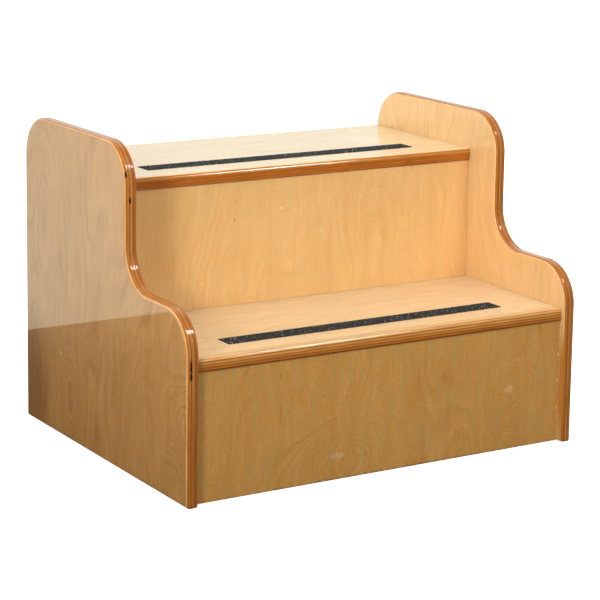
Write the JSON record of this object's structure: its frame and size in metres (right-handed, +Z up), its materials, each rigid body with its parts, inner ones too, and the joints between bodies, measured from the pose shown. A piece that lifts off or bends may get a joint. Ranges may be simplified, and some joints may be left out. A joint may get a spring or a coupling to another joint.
{
  "type": "step stool",
  "caption": "Low two-step stool of lacquered birch plywood, with S-shaped side panels, open back and grit strips on the treads.",
  "frame": {"origin": "on the floor at the middle of the footprint", "axes": "+X to the right as seen from the front, along the treads; +Y to the rear; +Z up"},
  "size_m": [0.61, 0.478, 0.438],
  "materials": {
    "panel_birch": "clear gloss lacquer over birch plywood, plies showing on the rounded edges",
    "tread_birch": "clear gloss lacquer, grain along the tread",
    "riser_birch": "clear gloss lacquer, grain upright",
    "rail_birch": "clear lacquer",
    "dowel_beech": "bare turned beech",
    "grip_tape": "coarse abrasive grit"
  },
  "bodies": {
    "root": {"left_side_panel": "panel_birch", "right_side_panel": "panel_birch", "lower_tread": "tread_birch", "upper_tread": "tread_birch", "lower_riser": "riser_birch", "upper_riser": "riser_birch", "rear_rail": "rail_birch", "lower_grip_strip": "grip_tape", "upper_grip_strip": "grip_tape", "lower_tread_dowel_left_1": "dowel_beech", "lower_tread_dowel_right_1": "dowel_beech", "lower_tread_dowel_left_2": "dowel_beech", "lower_tread_dowel_right_2": "dowel_beech", "lower_tread_dowel_left_3": "dowel_beech", "lower_tread_dowel_right_3": "dowel_beech", "upper_tread_dowel_left_1": "dowel_beech", "upper_tread_dowel_right_1": "dowel_beech", "upper_tread_dowel_left_2": "dowel_beech", "upper_tread_dowel_right_2": "dowel_beech", "upper_tread_dowel_left_3": "dowel_beech", "upper_tread_dowel_right_3": "dowel_beech", "lower_riser_dowel_left_1": "dowel_beech", "lower_riser_dowel_right_1": "dowel_beech", "lower_riser_dowel_left_2": "dowel_beech", "lower_riser_dowel_right_2": "dowel_beech", "lower_riser_dowel_left_3": "dowel_beech", "lower_riser_dowel_right_3": "dowel_beech", "upper_riser_dowel_left_1": "dowel_beech", "upper_riser_dowel_right_1": "dowel_beech", "upper_riser_dowel_left_2": "dowel_beech", "upper_riser_dowel_right_2": "dowel_beech", "upper_riser_dowel_left_3": "dowel_beech", "upper_riser_dowel_right_3": "dowel_beech", "rear_rail_dowel_left_1": "dowel_beech", "rear_rail_dowel_right_1": "dowel_beech", "rear_rail_dowel_left_2": "dowel_beech", "rear_rail_dowel_right_2": "dowel_beech"}
  },
  "joints": []
}
